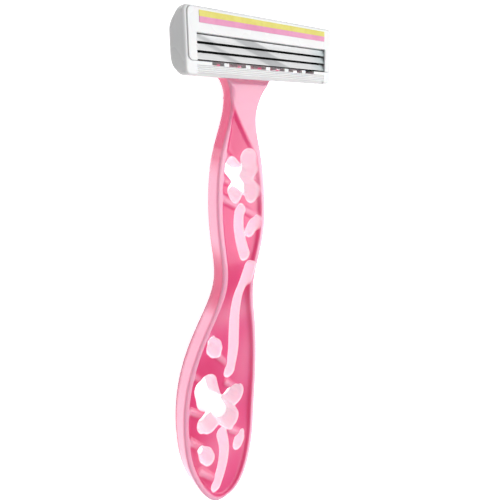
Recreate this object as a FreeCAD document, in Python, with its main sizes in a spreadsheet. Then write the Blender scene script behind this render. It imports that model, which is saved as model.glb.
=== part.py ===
import FreeCAD, Part
import math
import os
import re
import Sketcher
from FreeCAD import Placement, Rotation, Vector

# A three-blade razor with a pivoting head, lying on its back, face up, in millimetres.
# X runs along the blades, +Y from the handle's tail to the head, +Z up; the origin is under the
# middle of its length, on the surface that it lies on.
# Handle pieces use a station (distance from the head end towards the tail) and a depth (distance
# below the handle's datum line). Head pieces are drawn in the head's own frame: Y up the face
# towards the cap, Z out of the face, origin on the face where the cap ends and the blades begin.

doc = FreeCAD.newDocument("razor")
sheet = doc.addObject("Spreadsheet::Sheet", "Sizes")

SIZES = {
    # handle
    "handle_length": 117.1,
    "datum_height": 3.95,
    "tail_round": 19.7,
    "edge_round": 1.9,
    "rim_width": 1.5,
    "panel_drop": 1.0,
    "rib_drop": 0.5,
    "rib_width": 1.7,
    "panel_start": 11.5,
    "panel_tip_half": 0.15,
    "panel_widening": 9.0,
    "body_start": 5.0,
    "tail_gap": 0.08,
    "panel_tail_gap": 0.3,
    # fan plate, journals and return tongue, all carried by the handle
    "fan_half_width": 11.0,
    "fan_plate": 3.0,
    "fan_reach": 8.0,
    "fan_flare_along": 3.5,
    "fan_flare_out": 3.4,
    "fan_straight": 0.8,
    "fan_tuck": 0.5,
    "journal_radius": 1.1,
    "journal_length": 1.9,
    "pivot_clearance": 0.05,
    "side_clearance": 0.25,
    "tongue_width": 4.4,
    "tongue_plate": 0.8,
    "tongue_root": 5.0,
    "tongue_tip_up": 1.5,
    "tongue_tip_gap": 0.02,
    "tongue_tip_slant": 0.2,
    "slot_gap": 0.3,
    # head
    "head_tilt": 9.0,
    "head_width": 41.0,
    "head_depth": 5.2,
    "cap_height": 4.6,
    "guard_height": 7.05,
    "cap_side_share": 0.42,
    "guard_side_share": 0.5,
    "back_cap_share": 0.45,
    "back_guard_share": 0.72,
    "head_offset_along": 3.48,
    "head_offset_up": 5.11,
    "pivot_down": 2.6,
    "pivot_behind": 7.0,
    "lug_radius": 2.2,
    "lug_width": 1.8,
    "end_round": 0.5,
    "back_round": 3.0,
    "corner_round": 1.1,
    "stop_top": 3.9,
    "stop_foot": 4.5,
    "stop_gap": 0.05,
    "stop_root": 0.3,
    "lug_root": 0.4,
    # blades, their supports and the fingers under them
    "blade_window": 36.0,
    "window_gap": 0.12,
    "first_edge": 1.23,
    "blade_pitch": 1.53,
    "blade_width": 1.25,
    "blade_plate": 0.1,
    "blade_bevel": 0.25,
    "blade_tilt": 20.0,
    "blade_tuck": 0.4,
    "edge_below_face": 0.1,
    "support_plate": 0.22,
    "support_start": 0.4,
    "support_bend": 1.15,
    "support_depth": 2.9,
    "tab_top": 1.2,
    "tab_length": 0.3,
    "tab_headroom": 0.4,
    "blade_travel": 0.25,
    "guide_clearance": 0.05,
    "cavity_side": 0.6,
    "finger_length": 4.6,
    "finger_plate": 0.3,
    "finger_width": 0.8,
    "finger_gap": 0.15,
    # rinse windows
    "window_row": 5.17,
    "window_top": 4.25,
    "window_reach": 14.5,
    "bar_pitch": 5.5,
    "bar_width": 1.2,
    "bar_depth": 1.3,
    "outlet_slope": 0.38,
    # guard
    "guard_depth": 0.9,
    "guard_top": 5.25,
    "guard_rib": 0.22,
    "guard_round": 0.45,
    "guard_lip_share": 0.7,
    # cover and strips
    "cover_front": 0.3,
    "cover_seat": 0.9,
    "cover_rim": 0.4,
    "cover_side": 0.6,
    "cover_foot": 4.55,
    "cover_corner": 0.9,
    "seam": 0.05,
    "lip_gap": 0.05,
    "strip_half_length": 17.4,
    "strip_top": 3.75,
    "strip_middle": 2.75,
    "strip_bottom": 1.75,
    "strip_floor": 0.6,
    "strip_proud": 0.1,
}

# The handle's outline: share of its length, half width, depth of the middle line, thickness.
STATIONS = {
    "fan_root": (0.04, 5.5, 0.75, 3.4),
    "neck": (0.09, 3.9, 1.85, 4.2),
    "shoulder": (0.16, 5.8, 1.75, 4.4),
    "upper_bulge": (0.24, 7.35, 0.55, 4.6),
    "upper_taper": (0.33, 7.0, -0.95, 4.8),
    "waist": (0.43, 5.3, -1.1, 4.8),
    "lower_taper": (0.53, 8.3, 0.25, 5.0),
    "lower_shoulder": (0.63, 11.4, 1.38, 5.2),
    "palm_bulge": (0.73, 12.6, 1.38, 5.2),
    "palm_low": (0.83, 12.15, 0.1, 5.2),
    "tail_taper": (0.93, 10.9, -2.8, 4.8),
}
STATION_SIZES = ("share", "half_width", "middle", "thickness")

for station, values in STATIONS.items():
    for quantity, value in zip(STATION_SIZES, values):
        SIZES[station + "_" + quantity] = value

for row, (alias, value) in enumerate(SIZES.items(), start=1):
    sheet.set("A%d" % row, alias)
    sheet.set("B%d" % row, str(value))
    sheet.setAlias("B%d" % row, alias)
doc.recompute()


def size(alias):
    """A driving dimension, read from the sheet."""
    return float(sheet.get(alias))


def bound(text):
    """The expression with the sheet's name put before each of its aliases."""
    return re.sub(r"[a-z_0-9]+", lambda m: "Sizes." * (m.group() in SIZES) + m.group(), text)


def value_of(text):
    """The present value of an expression on the sheet."""
    return float(sheet.evalExpression(text))


# --- the two frames ---------------------------------------------------------------------------

tilt = math.radians(size("head_tilt"))
overall_length = (size("handle_length") + size("head_offset_along")
                  + size("cap_height") * math.cos(tilt))
datum_y = size("handle_length") - overall_length / 2
face_place = Vector(0, datum_y + size("head_offset_along"),
                    size("datum_height") + size("head_offset_up"))
HANDLE = Placement()
HEAD = Placement(face_place, Rotation(Vector(1, 0, 0), -size("head_tilt")))
pivot = HEAD.multVec(Vector(0, -size("pivot_down"), -size("pivot_behind")))
pivot_station = datum_y - pivot.y
pivot_depth = size("datum_height") - pivot.z


def on_handle(across, station, depth):
    """A point given by its distance across, its station and its depth below the datum line."""
    return Vector(across, datum_y - station, size("datum_height") - depth)


# --- sketches and features ----------------------------------------------------------------------

def body_named(name, place=HEAD):
    body = doc.addObject("PartDesign::Body", name)
    body.Label = name
    body.Placement = place
    return body


def sketch_on(body, role, lift=None):
    """A sketch on one of the body's origin planes, lifted off it by an expression."""
    sketch = body.newObject("Sketcher::SketchObject", body.Name + "_sketch")
    plane = [f for f in body.Origin.OriginFeatures if f.Role == role][0]
    sketch.AttachmentSupport = (plane, "")
    sketch.MapMode = "FlatFace"
    if lift:
        sketch.setExpression(".AttachmentOffset.Base.z", bound(lift))
    return sketch


def pin_point(sketch, geometry, point, texts):
    """Hold a point of a sketch at a pair of expressions, measured from the sketch's origin."""
    for kind, text in zip(("DistanceX", "DistanceY"), texts):
        constraint = Sketcher.Constraint(kind, -1, 1, geometry, point, value_of(text))
        index = sketch.addConstraint(constraint)
        sketch.setExpression("Constraints[%d]" % index, bound(text))


def polygon(sketch, points):
    """A closed outline whose corners are pairs of expressions."""
    corners = [Vector(value_of(x), value_of(y), 0) for x, y in points]
    first = sketch.GeometryCount
    count = len(points)
    for i, corner in enumerate(corners):
        sketch.addGeometry(Part.LineSegment(corner, corners[(i + 1) % count]), False)
    for i in range(count):
        after = first + (i + 1) % count
        sketch.addConstraint(Sketcher.Constraint("Coincident", first + i, 2, after, 1))
    for i, texts in enumerate(points):
        pin_point(sketch, first + i, 1, texts)


def rectangle(sketch, left, right, low, high):
    polygon(sketch, [(left, low), (right, low), (right, high), (left, high)])


def circle(sketch, centre, radius):
    place = Vector(value_of(centre[0]), value_of(centre[1]), 0)
    geometry = sketch.addGeometry(Part.Circle(place, Vector(0, 0, 1), value_of(radius)), False)
    pin_point(sketch, geometry, 3, centre)
    index = sketch.addConstraint(Sketcher.Constraint("Radius", geometry, value_of(radius)))
    sketch.setExpression("Constraints[%d]" % index, bound(radius))


def raise_or_cut(body, kind, sketch, length, symmetric=False, downwards=False, through=False):
    """A Pad or a Pocket of a sketch."""
    feature = body.newObject("PartDesign::" + kind, body.Name + "_" + kind.lower())
    feature.Profile = sketch
    feature.Midplane = symmetric
    feature.Reversed = downwards
    if through:
        feature.Type = "ThroughAll"
    else:
        feature.setExpression("Length", bound(length))
    doc.recompute()
    sketch.Visibility = False
    return feature


def dress(body, kind, wanted, amount):
    """A Fillet or Chamfer on the edges of the body's tip that the test wanted() accepts."""
    base = body.Tip
    names = ["Edge%d" % (i + 1) for i, edge in enumerate(base.Shape.Edges) if wanted(edge)]
    feature = body.newObject("PartDesign::" + kind, body.Name + "_" + kind.lower())
    feature.Base = (base, names)
    feature.setExpression("Radius" if kind == "Fillet" else "Size", bound(amount))
    doc.recompute()
    return feature


def runs_along(edge, axis):
    """True for a straight edge along one of the body's axes."""
    way = edge.Vertexes[-1].Point - edge.Vertexes[0].Point
    straight = way.Length > 1e-6 and abs(edge.Length - way.Length) < 1e-6
    return straight and abs(abs(way.normalize().dot(axis)) - 1) < 1e-6


ALONG = Vector(1, 0, 0)
OUT = Vector(0, 0, 1)


# --- head ---------------------------------------------------------------------------------------

HALF_WINDOW = "blade_window / 2"
CAVITY_HALF = "( blade_window / 2 + cavity_side )"
CAVITY_FLOOR = "( support_depth + blade_travel + finger_plate + finger_gap )"
COVER_HALF = "( head_width / 2 - cover_side )"
LUG_INNER = "fan_half_width + side_clearance"
PIVOT = ("-pivot_down", "-pivot_behind")


def blade_point(index, along, below):
    """A point of a tilted blade: distance back from its edge, and distance under its face."""
    edge = "-( first_edge + %d * blade_pitch )" % index
    return ("%s + %s * cos(blade_tilt) - %s * sin(blade_tilt)" % (edge, along, below),
            "-edge_below_face - %s * sin(blade_tilt) - %s * cos(blade_tilt)" % (along, below))


def support_rear(index):
    """Where the outer face of a support's upright leg stands."""
    return blade_point(index, "support_bend", "blade_plate")[0]


def fan_face_at(distance):
    """Height, in the head's frame, of the fan plate's front face below a point of the face."""
    return ("-pivot_behind + (pivot_down - %s) * tan(head_tilt)"
            " + fan_plate / (2 * cos(head_tilt))" % distance)


def mirrored_pad(body, sketch, length):
    """A Pad and its mirror image across the head's middle plane."""
    pad = raise_or_cut(body, "Pad", sketch, length)
    mirror = body.newObject("PartDesign::Mirrored", body.Name + "_mirror")
    mirror.Originals = [pad]
    plane = [f for f in body.Origin.OriginFeatures if f.Role == "YZ_Plane"][0]
    mirror.MirrorPlane = (plane, [""])
    body.Tip = mirror
    doc.recompute()


def build_cartridge_frame():
    """The white moulding: a D-shaped block with its cavity, rinse windows, seats and lugs."""
    body = body_named("cartridge_frame")
    profile = sketch_on(body, "YZ_Plane")
    polygon(profile, [("cap_height", "0"), ("cap_height", "-cap_side_share * head_depth"),
                      ("back_cap_share * cap_height", "-head_depth"),
                      ("-back_guard_share * guard_height", "-head_depth"),
                      ("-guard_height", "-guard_side_share * head_depth"), ("-guard_height", "0")])
    raise_or_cut(body, "Pad", profile, "head_width", symmetric=True)
    dress(body, "Fillet", lambda e: runs_along(e, ALONG) and e.BoundBox.ZMax < -1, "back_round")
    dress(body, "Fillet", lambda e: runs_along(e, OUT), "corner_round")
    dress(body, "Fillet", lambda e: e.BoundBox.XLength < 1e-4, "end_round")

    seat = sketch_on(body, "XY_Plane")
    side = COVER_HALF + " + seam"
    rectangle(seat, "-(%s)" % side, side, "-cover_foot - seam", "cap_height - cover_rim + seam")
    raise_or_cut(body, "Pocket", seat, "cover_seat")
    reach = value_of(side)
    dress(body, "Fillet",
          lambda e: runs_along(e, OUT) and abs(abs(e.BoundBox.XMin) - reach) < 1e-3,
          "cover_corner + seam")

    cavity = sketch_on(body, "XY_Plane")
    rectangle(cavity, "-" + CAVITY_HALF, CAVITY_HALF, "-cover_foot - seam", "window_gap")
    raise_or_cut(body, "Pocket", cavity, CAVITY_FLOOR)

    windows = sketch_on(body, "XY_Plane")
    bars = ["%d * bar_pitch" % index for index in range(-2, 3)]
    lefts = ["-window_reach"] + [bar + " + bar_width / 2" for bar in bars]
    rights = [bar + " - bar_width / 2" for bar in bars] + ["window_reach"]
    for left, right in zip(lefts, rights):
        rectangle(windows, left, right, "-window_row", "-window_top")
    raise_or_cut(body, "Pocket", windows, None, through=True)

    outlet = sketch_on(body, "YZ_Plane")
    undercut = "-window_row - outlet_slope * %s"
    polygon(outlet, [("-cover_foot - seam", "-bar_depth"), (undercut % "bar_depth", "-bar_depth"),
                     (undercut % "( head_depth + 1 )", "-head_depth - 1"),
                     ("-cover_foot - seam", "-head_depth - 1")])
    raise_or_cut(body, "Pocket", outlet, "2 * window_reach", symmetric=True)

    guard_seat = sketch_on(body, "XY_Plane")
    rectangle(guard_seat, "-" + HALF_WINDOW, HALF_WINDOW, "-guard_height - 1", "-guard_top")
    raise_or_cut(body, "Pocket", guard_seat, "guard_depth")

    guides = sketch_on(body, "YZ_Plane")
    for index in range(3):
        rear = support_rear(index)
        rectangle(guides, rear + " - support_plate - guide_clearance", rear + " + guide_clearance",
                  "-support_depth - blade_travel - finger_gap", "-tab_top + tab_headroom")
    slot_length = "2 * (%s + tab_length + guide_clearance)" % CAVITY_HALF
    raise_or_cut(body, "Pocket", guides, slot_length, symmetric=True)

    arm = sketch_on(body, "YZ_Plane", LUG_INNER)
    rectangle(arm, PIVOT[0] + " - lug_radius", PIVOT[0] + " + lug_radius", PIVOT[1],
              "-head_depth + lug_root")
    mirrored_pad(body, arm, "lug_width")
    eye = sketch_on(body, "YZ_Plane", LUG_INNER)
    circle(eye, PIVOT, "lug_radius")
    mirrored_pad(body, eye, "lug_width")
    bore = sketch_on(body, "YZ_Plane")
    circle(bore, PIVOT, "journal_radius + pivot_clearance")
    raise_or_cut(body, "Pocket", bore, "head_width", symmetric=True)

    # a stop stands under the floor bar next to the middle one, on each side
    stop = sketch_on(body, "YZ_Plane", "bar_pitch - bar_width / 2")
    polygon(stop, [("-stop_top", "-head_depth + stop_root"), ("-stop_foot", "-head_depth + stop_root"),
                   ("-stop_foot", fan_face_at("stop_foot") + " + stop_gap"),
                   ("-stop_top", fan_face_at("stop_top") + " + stop_gap")])
    mirrored_pad(body, stop, "bar_width")


def build_face_cover():
    """The U-shaped cover: it carries the strips and holds the blades' ends down with its lips."""
    body = body_named("face_cover")
    outline = sketch_on(body, "XY_Plane", "-cover_seat")
    polygon(outline, [("-" + COVER_HALF, "-cover_foot"), ("-" + HALF_WINDOW, "-cover_foot"),
                      ("-" + HALF_WINDOW, "window_gap"), (HALF_WINDOW, "window_gap"),
                      (HALF_WINDOW, "-cover_foot"), (COVER_HALF, "-cover_foot"),
                      (COVER_HALF, "cap_height - cover_rim"),
                      ("-" + COVER_HALF, "cap_height - cover_rim")])
    raise_or_cut(body, "Pad", outline, "cover_seat + cover_front")
    reach = value_of(COVER_HALF)
    dress(body, "Fillet",
          lambda e: runs_along(e, OUT) and abs(abs(e.BoundBox.XMin) - reach) < 1e-3,
          "cover_corner")
    front = size("cover_front")
    dress(body, "Fillet", lambda e: e.BoundBox.ZMin > front - 1e-4, "cover_front / 2")
    under = sketch_on(body, "XY_Plane", "-edge_below_face + lip_gap")
    rectangle(under, "-" + CAVITY_HALF, CAVITY_HALF, "-cover_foot - 1", "window_gap")
    raise_or_cut(body, "Pocket", under, "cover_seat")
    recess = sketch_on(body, "XY_Plane", "cover_front")
    rectangle(recess, "-strip_half_length", "strip_half_length", "strip_bottom", "strip_top")
    raise_or_cut(body, "Pocket", recess, "strip_floor")


def build_strip(name, low, high):
    """One of the two lubricating strips, side by side in the cover's recess."""
    body = body_named(name)
    outline = sketch_on(body, "XY_Plane", "cover_front - strip_floor")
    rectangle(outline, "-strip_half_length", "strip_half_length", low, high)
    raise_or_cut(body, "Pad", outline, "strip_floor + strip_proud")


def build_guard():
    """The soft ribbed bar in front of the blades."""
    body = body_named("guard")
    profile = sketch_on(body, "YZ_Plane")
    pitch = "(guard_height - guard_round - guard_top) / 4"
    points = [("-guard_top", "-guard_depth")]
    for rib in range(4):
        for share, height in ((0.0, "-guard_rib"), (0.25, "0"), (0.75, "0")):
            points.append(("-guard_top - %s * %s" % (rib + share, pitch), height))
    points += [("-guard_height + guard_round", "-guard_rib"),
               ("-guard_height", "-guard_depth * guard_lip_share"),
               ("-guard_height", "-guard_depth")]
    polygon(profile, points)
    raise_or_cut(body, "Pad", profile, "blade_window", symmetric=True)


def build_blade(index):
    """A ground steel blade, its bent support and the two fingers that press it up."""
    number = index + 1
    blade = body_named("blade_%d" % number)
    profile = sketch_on(blade, "YZ_Plane")
    polygon(profile, [blade_point(index, "0", "0"), blade_point(index, "blade_width", "0"),
                      blade_point(index, "blade_width", "blade_plate"),
                      blade_point(index, "blade_bevel", "blade_plate")])
    raise_or_cut(blade, "Pad", profile, "blade_window + 2 * blade_tuck", symmetric=True)

    support = body_named("blade_support_%d" % number)
    under = "(blade_plate + support_plate)"
    rear = support_rear(index)
    inner = rear + " - support_plate"
    bend = ("-edge_below_face - tan(blade_tilt) * (%s + first_edge + %d * blade_pitch)"
            " - %s / cos(blade_tilt)" % (inner, index, under))
    profile = sketch_on(support, "YZ_Plane")
    polygon(profile, [blade_point(index, "support_start", "blade_plate"),
                      blade_point(index, "support_bend", "blade_plate"),
                      (rear, "-support_depth"), (inner, "-support_depth"), (inner, bend),
                      blade_point(index, "support_start", under)])
    raise_or_cut(support, "Pad", profile, "blade_window + 2 * blade_tuck", symmetric=True)
    tabs = sketch_on(support, "YZ_Plane")
    rectangle(tabs, inner, rear, "-support_depth", "-tab_top")
    raise_or_cut(support, "Pad", tabs, "2 * (%s + tab_length)" % CAVITY_HALF, symmetric=True)

    fingers = body_named("blade_springs_%d" % number)
    root = sketch_on(fingers, "YZ_Plane", CAVITY_HALF + " - finger_length")
    middle = rear + " - support_plate / 2"
    rectangle(root, middle + " - finger_width / 2", middle + " + finger_width / 2",
              "-support_depth - finger_plate", "-support_depth")
    mirrored_pad(fingers, root, "finger_length")


# --- handle -------------------------------------------------------------------------------------

length = size("handle_length")


def curve_through(quantity):
    """A smooth curve of a size against the share of the handle's length."""
    knots = [Vector(size(s + "_share"), size(s + "_" + quantity), 0) for s in STATIONS]
    spline = Part.BSplineCurve()
    spline.interpolate(knots, Parameters=[knot.x for knot in knots])
    return spline


CURVES = {quantity: curve_through(quantity) for quantity in STATION_SIZES[1:]}


def along_handle(quantity, station):
    """A size of the handle at a station, past the last knot on the curve's own tangent."""
    share = station / length
    last = size("tail_taper_share")
    curve = CURVES[quantity]
    if share <= last:
        return curve.value(share).y
    slope = curve.tangent(last)[0]
    return curve.value(last).y + (share - last) * slope.y / slope.x


def tail_share(station):
    """How full the handle still is at a station: 1 up to the tail, then a quarter ellipse to 0."""
    past = max(0.0, station - (length - size("tail_round"))) / size("tail_round")
    return math.sqrt(max(0.0, 1 - past * past)), max(0.0, 1 - past ** 6) ** 0.5


def tail_stations(start, end):
    """Stations for a loft: even along the handle, then closer together round the tail."""
    straight = length - size("tail_round")
    body_count, tail_angles = 14, (18, 36, 52, 66, 78, 90)
    stations = [start + (straight - start) * i / (body_count - 1) for i in range(body_count)]
    rounding = end - straight
    return stations + [straight + rounding * math.sin(math.radians(a)) for a in tail_angles]


def handle_section(station):
    """The outer section of the handle: a rectangle with rounded corners."""
    plan, side = tail_share(station)
    half = along_handle("half_width", station) * plan
    thick = along_handle("thickness", station) * side
    middle = along_handle("middle", station)
    corner = min(size("edge_round"), 0.46 * thick, 0.8 * half)
    inner_x, inner_d = half - corner, thick / 2 - corner
    edges = []
    for turn in range(4):
        angle = math.pi / 2 * turn
        sign_x = 1 if turn in (0, 3) else -1
        sign_d = 1 if turn in (0, 1) else -1
        centre = (sign_x * inner_x, middle + sign_d * inner_d)
        arc = [on_handle(centre[0] + corner * math.cos(angle + part * math.pi / 4), station,
                         centre[1] + corner * math.sin(angle + part * math.pi / 4))
               for part in range(3)]
        edges.append(Part.Arc(*arc).toShape())
    ends = [(edge.Vertexes[0].Point, edge.Vertexes[-1].Point) for edge in edges]
    loop = []
    for index, edge in enumerate(edges):
        loop += [edge, Part.makeLine(ends[index][1], ends[(index + 1) % 4][0])]
    return Part.Wire(loop)


def panel_section(station, drop):
    """A section of the space over the recessed front panel, which narrows to a point at the neck."""
    plan, side = tail_share(min(station + size("rim_width"), length - 0.01))
    opening = min(1.0, (station - size("panel_start")) / size("panel_widening") + 0.06)
    inside_rim = along_handle("half_width", station) * plan - size("rim_width")
    half = max(size("panel_tip_half"), inside_rim * opening)
    front = along_handle("middle", station) - along_handle("thickness", station) * side / 2
    low = front + drop * min(1.0, 0.3 + opening)
    corners = [(-half, front - 1.5), (half, front - 1.5), (half, low), (-half, low)]
    points = [on_handle(x, station, depth) for x, depth in corners]
    return Part.makePolygon(points + points[:1])


TOOL_REACH = 20  # cutting tools run this far above and below the surface that the razor lies on


def upright(wire):
    """A plan outline drawn at height zero, raised into a prism taller than the handle."""
    prism = Part.Face(wire).extrude(Vector(0, 0, 2 * TOOL_REACH))
    return prism.translate(Vector(0, 0, -TOOL_REACH))


def hull(first, last):
    """Two discs (across, station, radius) and the straight sides that join them, as a prism."""
    start, end, start_radius, end_radius = on_plan(first), on_plan(last), first[2], last[2]
    way = end - start
    lean = (start_radius - end_radius) / way.Length
    way.normalize()
    across = Vector(-way.y, way.x, 0) * math.sqrt(1 - lean * lean)
    left, right = way * lean + across, way * lean - across
    far = Part.Arc(end + left * end_radius, end + way * end_radius, end + right * end_radius)
    near = Part.Arc(start + right * start_radius, start - way * start_radius,
                    start + left * start_radius)
    sides = [Part.makeLine(start + n * start_radius, end + n * end_radius) for n in (left, right)]
    return upright(Part.Wire([sides[0], far.toShape(), sides[1], near.toShape()]))


def on_plan(disc):
    """The centre of a disc on the handle, as a point at height zero."""
    return Vector(disc[0], datum_y - disc[1], 0)


def stem(points, start_half, end_half):
    """A curved slot through the panel: a round tool whose size changes evenly along its path."""
    path = Part.BSplineCurve()
    path.interpolate([Vector(x, datum_y - s, 0) for x, s in points])
    sides = ([], [])
    count = 8
    for index in range(count + 1):
        share = index / count
        at = path.FirstParameter + share * (path.LastParameter - path.FirstParameter)
        way = path.tangent(at)[0]
        normal = Vector(-way.y, way.x, 0)
        half = start_half + share * (end_half - start_half)
        sides[0].append(path.value(at) + normal * half)
        sides[1].append(path.value(at) - normal * half)
    first_way, last_way = (path.tangent(t)[0] for t in (path.FirstParameter, path.LastParameter))
    left, right = Part.BSplineCurve(), Part.BSplineCurve()
    left.interpolate(sides[0])
    right.interpolate(sides[1][::-1])
    far = Part.Arc(sides[0][-1], path.EndPoint + last_way * end_half, sides[1][-1])
    near = Part.Arc(sides[1][0], path.StartPoint - first_way * start_half, sides[0][0])
    return upright(Part.Wire([left.toShape(), far.toShape(), right.toShape(), near.toShape()]))


# Cut-outs of the panel, as (across, station, radius). A blossom is one run of discs for each lobe,
# all starting at its middle; a leaf is a run from its pointed end to its round end.
# A stem is points (across, station) and its half width at the first and last.
BLOSSOMS = [
    [((0.9, 25.7, 2.45), (-0.6, 24.4, 2.0), (-2.7, 22.3, 1.95)),
     ((0.9, 25.7, 2.45), (3.1, 23.6, 1.95), (2.7, 20.6, 1.9)),
     ((0.9, 25.7, 2.45), (-1.4, 27.6, 1.9), (-1.4, 28.6, 1.7)),
     ((0.9, 25.7, 2.45), (4.0, 28.0, 1.9), (4.2, 29.2, 1.75))],
    [((0.6, 89.5, 3.5), (-2.2, 86.5, 2.7), (-4.2, 83.8, 3.45), (-5.3, 79.9, 3.4)),
     ((0.6, 89.5, 3.5), (4.2, 86.2, 2.6), (5.2, 87.0, 3.2)),
     ((0.6, 89.5, 3.5), (-3.4, 92.2, 2.6), (-4.4, 91.3, 3.15)),
     ((0.6, 89.5, 3.5), (3.9, 94.0, 2.8))],
]
LEAVES = [
    ((5.6, 34.6, 0.65), (4.4, 36.3, 1.25), (3.3, 37.6, 1.35)),
    ((-5.4, 65.2, 0.85), (-4.1, 68.0, 1.8), (-3.1, 69.6, 1.8)),
    ((7.8, 100.2, 0.75), (6.8, 101.7, 1.45), (6.0, 102.9, 1.5)),
    ((-7.0, 98.3, 0.85), (-5.4, 100.9, 1.7), (-4.4, 102.5, 1.7)),
]
STEMS = [
    ([(-0.2, 32.2), (-0.6, 35.7), (0.3, 40.0), (1.7, 43.3)], 1.2, 1.3),
    ([(3.3, 46.5), (2.1, 51.0), (1.1, 54.6), (1.3, 60.0), (2.1, 65.0), (3.1, 72.0), (2.6, 78.2)],
     1.1, 1.65),
    ([(0.5, 97.0), (1.1, 101.5), (0.0, 106.1), (-2.9, 111.4)], 1.5, 1.5),
]
RIBS = [
    ((-6.6, 19.0), (-1.0, 21.6)), ((-6.8, 24.0), (-2.6, 26.0)), ((-6.2, 28.6), (6.4, 35.0)),
    ((-10.6, 60.6), (-5.4, 64.8)), ((-2.4, 71.2), (3.0, 77.2)), ((-11.8, 72.6), (-7.0, 77.2)),
    ((1.8, 81.4), (5.6, 85.0)), ((-11.0, 84.6), (-5.0, 89.6)), ((3.6, 97.4), (7.4, 100.6)),
    ((-11.6, 93.2), (-6.6, 98.4)), ((-7.6, 104.8), (-3.4, 109.2)),
]


def shape_object(name, shape):
    """A document object that holds a shape made by Part's own functions."""
    feature = doc.addObject("Part::Feature", name)
    feature.Shape = shape
    return feature


def boolean(kind, name, **links):
    """A Part boolean of document objects."""
    feature = doc.addObject("Part::" + kind, name)
    for link, value in links.items():
        setattr(feature, link, value)
    doc.recompute()
    return feature


def crossbar(name, radius, span):
    """A cylinder along the pivot axis, its sizes bound to the sheet."""
    bar = doc.addObject("Part::Cylinder", name)
    bar.setExpression("Radius", bound(radius))
    bar.setExpression("Height", bound("2 * (%s)" % span))
    half = value_of(span)
    bar.Placement = Placement(Vector(-half, pivot.y, pivot.z), Rotation(Vector(0, 1, 0), 90))
    doc.recompute()
    return bar


def fan_outline():
    """The fan plate in plan: full width at the pivot, narrowing to the neck on two arcs."""
    wide, reach = size("fan_half_width"), size("fan_reach")
    narrow = along_handle("half_width", reach) - size("fan_tuck")
    square = pivot_station + size("fan_straight")
    flare = [(wide, square), (narrow + size("fan_flare_out"), square + size("fan_flare_along")),
             (narrow, reach)]
    right = [Vector(x, datum_y - s, 0) for x, s in flare]
    left = [Vector(-p.x, p.y, 0) for p in right]
    top = [Vector(side * wide, pivot.y, 0) for side in (1, -1)]
    return Part.Wire([Part.makeLine(top[1], top[0]), Part.makeLine(top[0], right[0]),
                      Part.Arc(*right).toShape(), Part.makeLine(right[2], left[2]),
                      Part.Arc(*left[::-1]).toShape(), Part.makeLine(left[0], top[1])])


def build_handle():
    """The translucent moulding: outer body, recessed panel with ribs, cut-outs, fan and journals."""
    stations = tail_stations(size("body_start"), length - size("tail_gap"))
    outer = shape_object("outer_body", Part.makeLoft([handle_section(s) for s in stations], True))
    plate = Part.Face(fan_outline()).extrude(Vector(0, 0, size("fan_plate")))
    plate.translate(Vector(0, 0, pivot.z - size("fan_plate") / 2))
    fan = shape_object("fan_plate", plate)
    knuckle = crossbar("fan_knuckle", "fan_plate / 2", "fan_half_width")
    journals = crossbar("journals", "journal_radius", "fan_half_width + journal_length")
    blank = boolean("MultiFuse", "handle_blank", Shapes=[outer, fan, knuckle, journals])

    panel_end = length - size("rim_width") - size("panel_tail_gap")
    over_panel = tail_stations(size("panel_start"), panel_end)
    spaces = {}
    for name, drop in (("rib_space", "rib_drop"), ("panel_space", "panel_drop")):
        loft = Part.makeLoft([panel_section(s, size(drop)) for s in over_panel], True)
        spaces[name] = shape_object(name, loft)
    ribs = []
    for start, end in RIBS:
        first, last = (Vector(x, datum_y - s, 0) for x, s in (start, end))
        way = last - first
        across = Vector(-way.y, way.x, 0).normalize() * (size("rib_width") / 2)
        corners = [first - across, last - across, last + across, first + across, first - across]
        ribs.append(upright(Part.makePolygon(corners)))
    rib_blocks = shape_object("cross_ribs", Part.makeCompound(ribs))
    between_ribs = boolean("Cut", "between_ribs", Base=spaces["panel_space"], Tool=rib_blocks)

    runs = [lobe for blossom in BLOSSOMS for lobe in blossom] + LEAVES
    cuts = [hull(*pair) for run in runs for pair in zip(run, run[1:])]
    cuts += [stem(*values) for values in STEMS]
    openings = shape_object("cut_outs", cuts[0].multiFuse(cuts[1:]))

    ground = doc.addObject("Part::Box", "ground")
    ground.setExpression("Width", bound("2 * handle_length"))
    ground.setExpression("Length", bound("2 * head_width"))
    ground.Height = TOOL_REACH
    ground.Placement = Placement(Vector(-size("head_width"), -length, -TOOL_REACH), Rotation())
    slot = doc.addObject("Part::Box", "tongue_slot")
    slot.setExpression("Width", bound("tongue_root + head_depth + pivot_behind"))
    slot.setExpression("Length", bound("tongue_width + 2 * slot_gap"))
    slot.Height = 2 * TOOL_REACH
    half_slot = size("tongue_width") / 2 + size("slot_gap")
    slot.Placement = Placement(on_handle(-half_slot, size("tongue_root"), TOOL_REACH), Rotation())
    handle = blank
    for name, tool in (("rested", ground), ("shallow_panel", spaces["rib_space"]),
                       ("ribbed_panel", between_ribs), ("flowered", openings), ("handle", slot)):
        handle = boolean("Cut", name, Base=handle, Tool=tool)
    handle.Label = "handle"
    return handle


def build_return_tongue():
    """The springy tongue between the fan's arms, which rests on the back of the head."""
    body = body_named("return_tongue", HANDLE)
    behind = size("head_depth") + size("tongue_tip_gap")
    tip = HEAD.multVec(Vector(0, size("tongue_tip_up"), -behind))
    root_y = datum_y - size("tongue_root")
    plate = size("tongue_plate")
    outline = [(root_y, pivot.z + plate / 2), (root_y, pivot.z - plate / 2),
               (tip.y + size("tongue_tip_slant"), tip.z - plate), (tip.y, tip.z)]
    profile = sketch_on(body, "YZ_Plane")
    polygon(profile, [(str(y), str(z)) for y, z in outline])
    raise_or_cut(body, "Pad", profile, "tongue_width", symmetric=True)


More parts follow.
